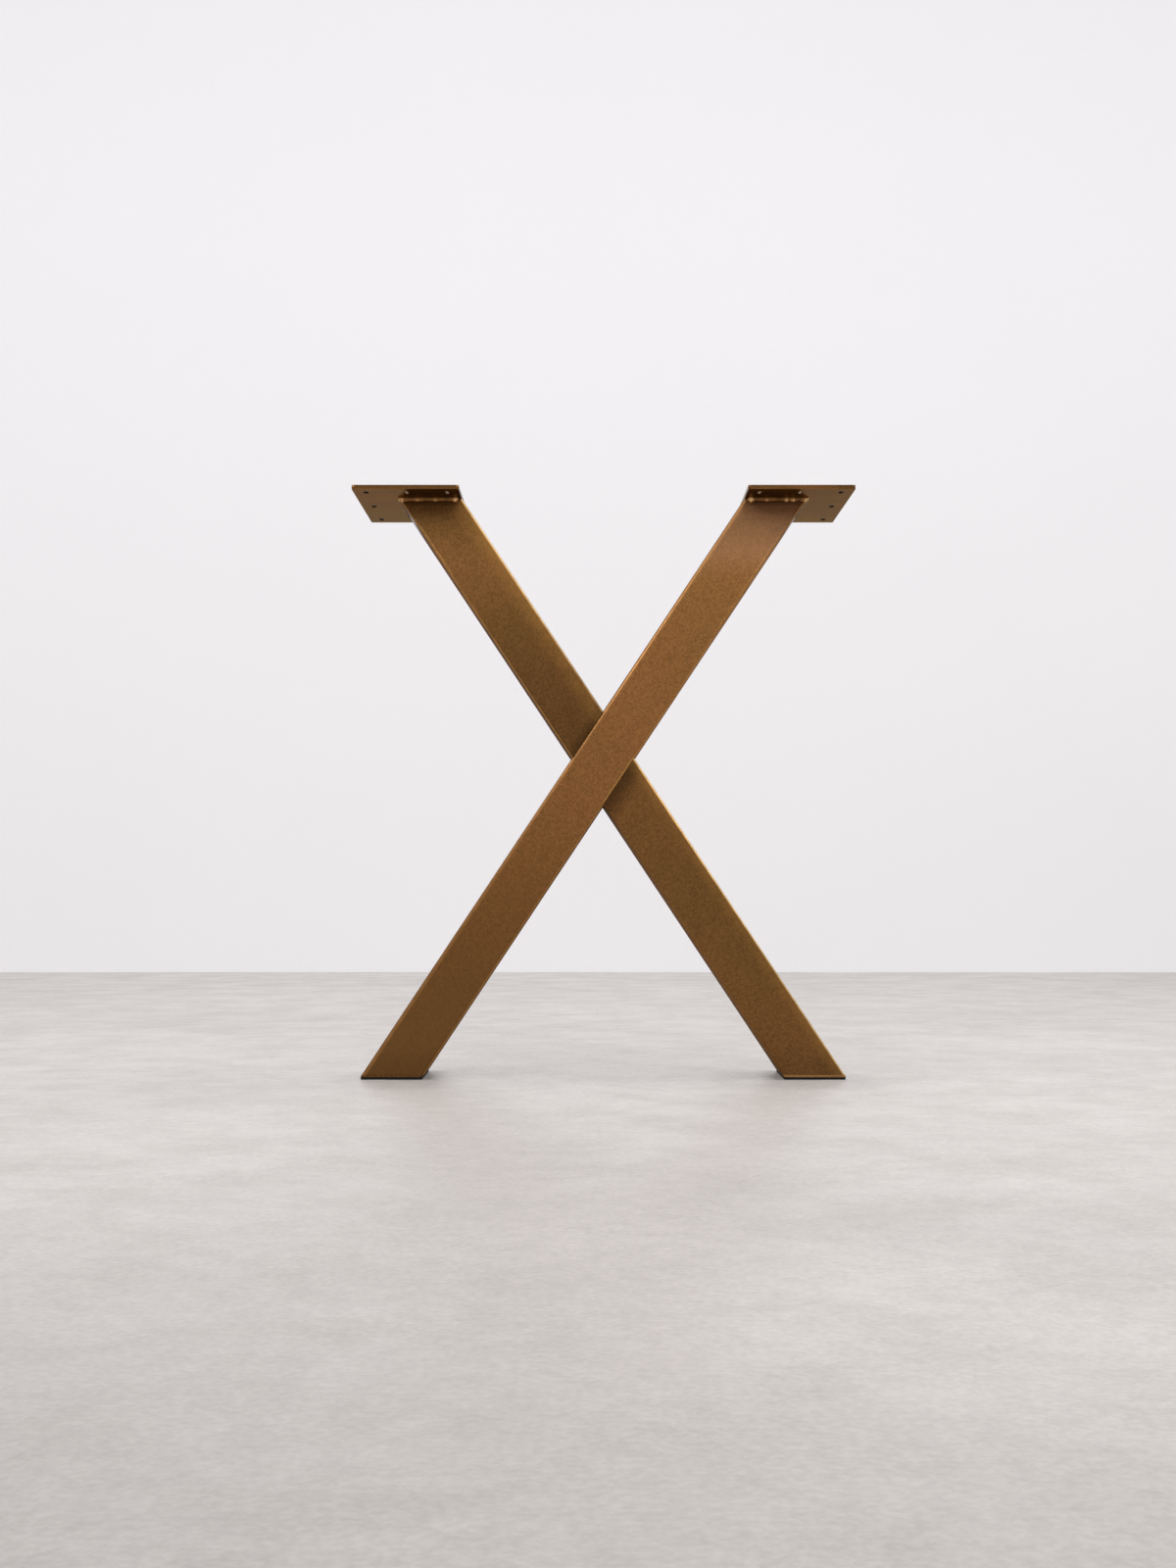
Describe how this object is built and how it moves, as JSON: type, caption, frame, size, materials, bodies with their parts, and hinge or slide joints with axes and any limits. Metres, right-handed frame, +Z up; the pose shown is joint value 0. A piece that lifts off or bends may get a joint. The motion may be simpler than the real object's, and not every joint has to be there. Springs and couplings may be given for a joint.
{
  "type": "x shaped table leg",
  "caption": "Welded steel leg for a table: crossing rectangular hollow bars with drilled mounting plates on top and capped, padded feet.",
  "frame": {"origin": "on the floor, centred under the leg: the middle of the bottom of its bounding box", "axes": "+Z up, +X to the right along the leg's width, -Y towards its front face"},
  "size_m": [0.597, 0.21, 0.71],
  "materials": {
    "brass_finish_steel": "antique brass finish on steel, satin, brownish, darker near the welds and the feet, brighter along the rounded edges",
    "brass_finish_weld": "the same antique brass finish over rippled weld metal",
    "black_pad": "matt black"
  },
  "bodies": {
    "root": {"continuous_bar": "brass_finish_steel", "upper_half_bar": "brass_finish_steel", "lower_half_bar": "brass_finish_steel", "left_mounting_plate": "brass_finish_steel", "right_mounting_plate": "brass_finish_steel", "left_foot_cap": "brass_finish_steel", "right_foot_cap": "brass_finish_steel", "left_plate_weld": "brass_finish_weld", "right_plate_weld": "brass_finish_weld", "crossing_weld_upper_front": "brass_finish_weld", "crossing_weld_upper_back": "brass_finish_weld", "crossing_weld_lower_front": "brass_finish_weld", "crossing_weld_lower_back": "brass_finish_weld", "left_foot_pad": "black_pad", "right_foot_pad": "black_pad"}
  },
  "joints": []
}
